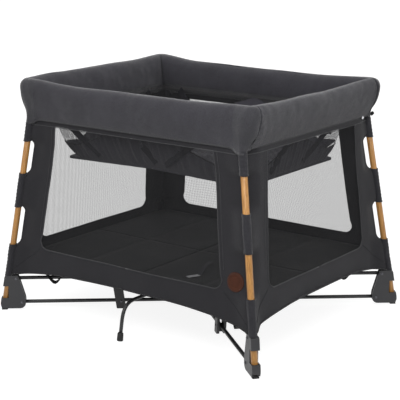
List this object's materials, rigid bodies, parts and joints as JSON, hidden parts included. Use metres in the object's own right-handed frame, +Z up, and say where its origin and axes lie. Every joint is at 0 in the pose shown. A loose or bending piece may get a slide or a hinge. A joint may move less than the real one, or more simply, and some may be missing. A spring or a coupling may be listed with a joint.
{
  "type": "travel play yard",
  "caption": "Rectangular folding play yard with splayed round legs, netted fabric sides, a padded top rail, a hanging upper tray, a floor pad and struts to a central lifting hub.",
  "frame": {"origin": "on the floor, at the centre of the footprint", "axes": "+X along the long side, +Y along the short side towards the back, +Z up"},
  "size_m": [1.0366, 0.8556, 0.757],
  "materials": {
    "leg_woodgrain": "honey wood-grain coating on aluminium tube, satin",
    "bracket_plastic": "satin moulded, dark grey",
    "frame_tube": "black powder coat",
    "rail_fabric": "graphite melange weave over padding",
    "side_fabric": "graphite woven polyester",
    "tray_fabric": "graphite woven polyester",
    "pad_fabric": "dark quilted weave over foam",
    "netting": "fine open netting, seen through",
    "foot_rubber": "dull",
    "patch_leather": "brown grained patch, blank"
  },
  "bodies": {
    "leg_back_left": {"leg_tube_back_left": "leg_woodgrain", "foot_bracket_back_left": "bracket_plastic", "foot_pad_back_left": "foot_rubber", "corner_joint_back_left": "bracket_plastic", "long_panel_back_left": "side_fabric", "short_panel_back_left": "side_fabric", "rail_cover_back_left": "rail_fabric"},
    "leg_back_right": {"leg_tube_back_right": "leg_woodgrain", "foot_bracket_back_right": "bracket_plastic", "foot_pad_back_right": "foot_rubber", "corner_joint_back_right": "bracket_plastic", "long_panel_back_right": "side_fabric", "short_panel_back_right": "side_fabric", "rail_cover_back_right": "rail_fabric"},
    "leg_front_left": {"leg_tube_front_left": "leg_woodgrain", "foot_bracket_front_left": "bracket_plastic", "foot_pad_front_left": "foot_rubber", "corner_joint_front_left": "bracket_plastic", "long_panel_front_left": "side_fabric", "short_panel_front_left": "side_fabric", "rail_cover_front_left": "rail_fabric"},
    "leg_front_right": {"leg_tube_front_right": "leg_woodgrain", "foot_bracket_front_right": "bracket_plastic", "foot_pad_front_right": "foot_rubber", "corner_joint_front_right": "bracket_plastic", "long_panel_front_right": "side_fabric", "short_panel_front_right": "side_fabric", "rail_cover_front_right": "rail_fabric"},
    "lower_strut_back_left": {"lower_strut_back_left": "frame_tube"},
    "lower_strut_back_right": {"lower_strut_back_right": "frame_tube"},
    "lower_strut_front_left": {"lower_strut_front_left": "frame_tube"},
    "lower_strut_front_right": {"lower_strut_front_right": "frame_tube"},
    "upper_strut_back_left": {"upper_strut_back_left": "frame_tube"},
    "upper_strut_back_right": {"upper_strut_back_right": "frame_tube"},
    "upper_strut_front_left": {"upper_strut_front_left": "frame_tube"},
    "upper_strut_front_right": {"upper_strut_front_right": "frame_tube"},
    "strut_knuckle_back_left": {"strut_knuckle_back_left": "bracket_plastic"},
    "strut_knuckle_back_right": {"strut_knuckle_back_right": "bracket_plastic"},
    "strut_knuckle_front_left": {"strut_knuckle_front_left": "bracket_plastic"},
    "strut_knuckle_front_right": {"strut_knuckle_front_right": "bracket_plastic"},
    "long_rail_back_left": {"long_rail_back_left": "frame_tube"},
    "long_rail_back_right": {"long_rail_back_right": "frame_tube"},
    "long_rail_front_left": {"long_rail_front_left": "frame_tube"},
    "long_rail_front_right": {"long_rail_front_right": "frame_tube"},
    "short_rail_back_left": {"short_rail_back_left": "frame_tube"},
    "short_rail_back_right": {"short_rail_back_right": "frame_tube"},
    "short_rail_front_left": {"short_rail_front_left": "frame_tube"},
    "short_rail_front_right": {"short_rail_front_right": "frame_tube"},
    "floor_pad_back_left": {"floor_pad_back_left": "pad_fabric"},
    "floor_pad_back_right": {"floor_pad_back_right": "pad_fabric"},
    "floor_pad_front_left": {"floor_pad_front_left": "pad_fabric"},
    "floor_pad_front_right": {"floor_pad_front_right": "pad_fabric"},
    "upper_tray_back_left": {"upper_tray_back_left": "tray_fabric"},
    "upper_tray_back_right": {"upper_tray_back_right": "tray_fabric"},
    "upper_tray_front_left": {"upper_tray_front_left": "tray_fabric"},
    "upper_tray_front_right": {"upper_tray_front_right": "tray_fabric"},
    "hub": {"hub": "bracket_plastic"},
    "pull_handle": {"pull_handle": "bracket_plastic"},
    "centre_leg_front": {"centre_leg_front": "frame_tube"},
    "centre_leg_back": {"centre_leg_back": "frame_tube"}
  },
  "joints": [
    {"name": "fold", "type": "hinge", "parent": "leg_back_left", "child": "lower_strut_back_left", "pos_m": [-0.4557, 0.37318, 0.025], "axis": [-0.6336, -0.7737, 0], "range_deg": [0, 78], "deforming": ["rail_cover_back_left", "long_panel_back_left", "short_panel_back_left", "rail_cover_back_right", "long_panel_back_right", "short_panel_back_right", "rail_cover_front_left", "long_panel_front_left", "short_panel_front_left", "rail_cover_front_right", "long_panel_front_right", "short_panel_front_right"]},
    {"name": "hub_lift", "type": "hinge", "parent": "lower_strut_back_left", "child": "hub", "pos_m": [-0.05725, 0.04689, 0.025], "axis": [-0.6336, -0.7737, 0], "range_deg": [-78, 0]},
    {"name": "lower_strut_back_right_turn", "type": "hinge", "parent": "hub", "child": "lower_strut_back_right", "pos_m": [0.05725, 0.04689, 0.025], "axis": [-0.6336, 0.7737, 0], "range_deg": [0, 78]},
    {"name": "leg_back_right_turn", "type": "hinge", "parent": "lower_strut_back_right", "child": "leg_back_right", "pos_m": [0.4557, 0.37318, 0.025], "axis": [-0.6336, 0.7737, 0], "range_deg": [-78, 0]},
    {"name": "lower_strut_front_left_turn", "type": "hinge", "parent": "hub", "child": "lower_strut_front_left", "pos_m": [-0.05725, -0.04689, 0.025], "axis": [0.6336, -0.7737, 0], "range_deg": [0, 78]},
    {"name": "leg_front_left_turn", "type": "hinge", "parent": "lower_strut_front_left", "child": "leg_front_left", "pos_m": [-0.4557, -0.37318, 0.025], "axis": [0.6336, -0.7737, 0], "range_deg": [-78, 0]},
    {"name": "lower_strut_front_right_turn", "type": "hinge", "parent": "hub", "child": "lower_strut_front_right", "pos_m": [0.05725, -0.04689, 0.025], "axis": [0.6336, 0.7737, 0], "range_deg": [0, 78]},
    {"name": "leg_front_right_turn", "type": "hinge", "parent": "lower_strut_front_right", "child": "leg_front_right", "pos_m": [0.4557, -0.37318, 0.025], "axis": [0.6336, 0.7737, 0], "range_deg": [-78, 0]},
    {"name": "upper_strut_back_left_turn", "type": "hinge", "parent": "leg_back_left", "child": "upper_strut_back_left", "pos_m": [-0.46885, 0.38395, 0.107], "axis": [-0.6336, -0.7737, 0], "range_deg": [0, 78]},
    {"name": "knuckle_back_left_turn", "type": "hinge", "parent": "lower_strut_back_left", "child": "strut_knuckle_back_left", "pos_m": [-0.2027, 0.166, 0.025], "axis": [-0.6336, -0.7737, 0], "range_deg": [-78, 0]},
    {"name": "long_rail_back_left_turn", "type": "hinge", "parent": "leg_back_left", "child": "long_rail_back_left", "pos_m": [-0.39846, 0.335, 0.72], "axis": [0, 1, 0], "range_deg": [0, 78]},
    {"name": "short_rail_back_left_turn", "type": "hinge", "parent": "leg_back_left", "child": "short_rail_back_left", "pos_m": [-0.425, 0.3263, 0.72], "axis": [1, 0, 0], "range_deg": [0, 78]},
    {"name": "floor_pad_back_left_turn", "type": "hinge", "parent": "leg_back_left", "child": "floor_pad_back_left", "pos_m": [-0.43326, 0.3548, 0.168], "axis": [-0.6336, -0.7737, 0], "range_deg": [0, 70.2], "deforming": ["floor_pad_back_left"]},
    {"name": "upper_tray_back_left_turn", "type": "hinge", "parent": "leg_back_left", "child": "upper_tray_back_left", "pos_m": [-0.3791, 0.31045, 0.506], "axis": [0.6336, 0.7737, 0], "range_deg": [0, 70.2], "deforming": ["upper_tray_back_left"]},
    {"name": "upper_strut_back_right_turn", "type": "hinge", "parent": "hub", "child": "upper_strut_back_right", "pos_m": [0.0704, 0.05766, 0.107], "axis": [-0.6336, 0.7737, 0], "range_deg": [0, 78]},
    {"name": "knuckle_back_right_turn", "type": "hinge", "parent": "lower_strut_back_right", "child": "strut_knuckle_back_right", "pos_m": [0.2027, 0.166, 0.025], "axis": [-0.6336, 0.7737, 0], "range_deg": [-78, 0]},
    {"name": "long_rail_back_right_turn", "type": "hinge", "parent": "leg_back_right", "child": "long_rail_back_right", "pos_m": [0.39846, 0.335, 0.72], "axis": [0, -1, 0], "range_deg": [0, 78]},
    {"name": "short_rail_back_right_turn", "type": "hinge", "parent": "leg_back_right", "child": "short_rail_back_right", "pos_m": [0.425, 0.3263, 0.72], "axis": [1, 0, 0], "range_deg": [0, 78]},
    {"name": "floor_pad_back_right_turn", "type": "hinge", "parent": "leg_back_right", "child": "floor_pad_back_right", "pos_m": [0.43326, 0.3548, 0.168], "axis": [-0.6336, 0.7737, 0], "range_deg": [0, 70.2], "deforming": ["floor_pad_back_right"]},
    {"name": "upper_tray_back_right_turn", "type": "hinge", "parent": "leg_back_right", "child": "upper_tray_back_right", "pos_m": [0.3791, 0.31045, 0.506], "axis": [0.6336, -0.7737, 0], "range_deg": [0, 70.2], "deforming": ["upper_tray_back_right"]},
    {"name": "upper_strut_front_left_turn", "type": "hinge", "parent": "hub", "child": "upper_strut_front_left", "pos_m": [-0.0704, -0.05766, 0.107], "axis": [0.6336, -0.7737, 0], "range_deg": [0, 78]},
    {"name": "knuckle_front_left_turn", "type": "hinge", "parent": "lower_strut_front_left", "child": "strut_knuckle_front_left", "pos_m": [-0.2027, -0.166, 0.025], "axis": [0.6336, -0.7737, 0], "range_deg": [-78, 0]},
    {"name": "long_rail_front_left_turn", "type": "hinge", "parent": "leg_front_left", "child": "long_rail_front_left", "pos_m": [-0.39846, -0.335, 0.72], "axis": [0, 1, 0], "range_deg": [0, 78]},
    {"name": "short_rail_front_left_turn", "type": "hinge", "parent": "leg_front_left", "child": "short_rail_front_left", "pos_m": [-0.425, -0.3263, 0.72], "axis": [-1, 0, 0], "range_deg": [0, 78]},
    {"name": "floor_pad_front_left_turn", "type": "hinge", "parent": "leg_front_left", "child": "floor_pad_front_left", "pos_m": [-0.43326, -0.3548, 0.168], "axis": [0.6336, -0.7737, 0], "range_deg": [0, 70.2], "deforming": ["floor_pad_front_left"]},
    {"name": "upper_tray_front_left_turn", "type": "hinge", "parent": "leg_front_left", "child": "upper_tray_front_left", "pos_m": [-0.3791, -0.31045, 0.506], "axis": [-0.6336, 0.7737, 0], "range_deg": [0, 70.2], "deforming": ["upper_tray_front_left"]},
    {"name": "upper_strut_front_right_turn", "type": "hinge", "parent": "hub", "child": "upper_strut_front_right", "pos_m": [0.0704, -0.05766, 0.107], "axis": [0.6336, 0.7737, 0], "range_deg": [0, 78]},
    {"name": "knuckle_front_right_turn", "type": "hinge", "parent": "lower_strut_front_right", "child": "strut_knuckle_front_right", "pos_m": [0.2027, -0.166, 0.025], "axis": [0.6336, 0.7737, 0], "range_deg": [-78, 0]},
    {"name": "long_rail_front_right_turn", "type": "hinge", "parent": "leg_front_right", "child": "long_rail_front_right", "pos_m": [0.39846, -0.335, 0.72], "axis": [0, -1, 0], "range_deg": [0, 78]},
    {"name": "short_rail_front_right_turn", "type": "hinge", "parent": "leg_front_right", "child": "short_rail_front_right", "pos_m": [0.425, -0.3263, 0.72], "axis": [-1, 0, 0], "range_deg": [0, 78]},
    {"name": "floor_pad_front_right_turn", "type": "hinge", "parent": "leg_front_right", "child": "floor_pad_front_right", "pos_m": [0.43326, -0.3548, 0.168], "axis": [0.6336, 0.7737, 0], "range_deg": [0, 70.2], "deforming": ["floor_pad_front_right"]},
    {"name": "upper_tray_front_right_turn", "type": "hinge", "parent": "leg_front_right", "child": "upper_tray_front_right", "pos_m": [0.3791, -0.31045, 0.506], "axis": [-0.6336, -0.7737, 0], "range_deg": [0, 70.2], "deforming": ["upper_tray_front_right"]},
    {"name": "centre_leg_front_turn", "type": "hinge", "parent": "hub", "child": "centre_leg_front", "pos_m": [0, -0.076, 0.115], "axis": [1, 0, 0], "range_deg": [0, 94.38]},
    {"name": "centre_leg_back_turn", "type": "hinge", "parent": "hub", "child": "centre_leg_back", "pos_m": [-0.021, 0.076, 0.115], "axis": [-1, 0, 0], "range_deg": [0, 94.38]},
    {"name": "handle_pull", "type": "slide", "parent": "hub", "child": "pull_handle", "axis": [0, 0, 1], "range_m": [0, 0.01], "stiffness_N_per_m": 400, "springref_m": -0.005}
  ],
  "couplings": [
    {"joint": "hub_lift", "follows": "fold", "ratio": -1},
    {"joint": "lower_strut_back_right_turn", "follows": "fold", "ratio": 1},
    {"joint": "leg_back_right_turn", "follows": "fold", "ratio": -1},
    {"joint": "lower_strut_front_left_turn", "follows": "fold", "ratio": 1},
    {"joint": "leg_front_left_turn", "follows": "fold", "ratio": -1},
    {"joint": "lower_strut_front_right_turn", "follows": "fold", "ratio": 1},
    {"joint": "leg_front_right_turn", "follows": "fold", "ratio": -1},
    {"joint": "upper_strut_back_left_turn", "follows": "fold", "ratio": 1},
    {"joint": "knuckle_back_left_turn", "follows": "fold", "ratio": -1},
    {"joint": "long_rail_back_left_turn", "follows": "fold", "ratio": 1},
    {"joint": "short_rail_back_left_turn", "follows": "fold", "ratio": 1},
    {"joint": "floor_pad_back_left_turn", "follows": "fold", "ratio": 0.9},
    {"joint": "upper_tray_back_left_turn", "follows": "fold", "ratio": 0.9},
    {"joint": "upper_strut_back_right_turn", "follows": "fold", "ratio": 1},
    {"joint": "knuckle_back_right_turn", "follows": "fold", "ratio": -1},
    {"joint": "long_rail_back_right_turn", "follows": "fold", "ratio": 1},
    {"joint": "short_rail_back_right_turn", "follows": "fold", "ratio": 1},
    {"joint": "floor_pad_back_right_turn", "follows": "fold", "ratio": 0.9},
    {"joint": "upper_tray_back_right_turn", "follows": "fold", "ratio": 0.9},
    {"joint": "upper_strut_front_left_turn", "follows": "fold", "ratio": 1},
    {"joint": "knuckle_front_left_turn", "follows": "fold", "ratio": -1},
    {"joint": "long_rail_front_left_turn", "follows": "fold", "ratio": 1},
    {"joint": "short_rail_front_left_turn", "follows": "fold", "ratio": 1},
    {"joint": "floor_pad_front_left_turn", "follows": "fold", "ratio": 0.9},
    {"joint": "upper_tray_front_left_turn", "follows": "fold", "ratio": 0.9},
    {"joint": "upper_strut_front_right_turn", "follows": "fold", "ratio": 1},
    {"joint": "knuckle_front_right_turn", "follows": "fold", "ratio": -1},
    {"joint": "long_rail_front_right_turn", "follows": "fold", "ratio": 1},
    {"joint": "short_rail_front_right_turn", "follows": "fold", "ratio": 1},
    {"joint": "floor_pad_front_right_turn", "follows": "fold", "ratio": 0.9},
    {"joint": "upper_tray_front_right_turn", "follows": "fold", "ratio": 0.9},
    {"joint": "centre_leg_front_turn", "follows": "fold", "ratio": 1.21},
    {"joint": "centre_leg_back_turn", "follows": "fold", "ratio": 1.21}
  ]
}
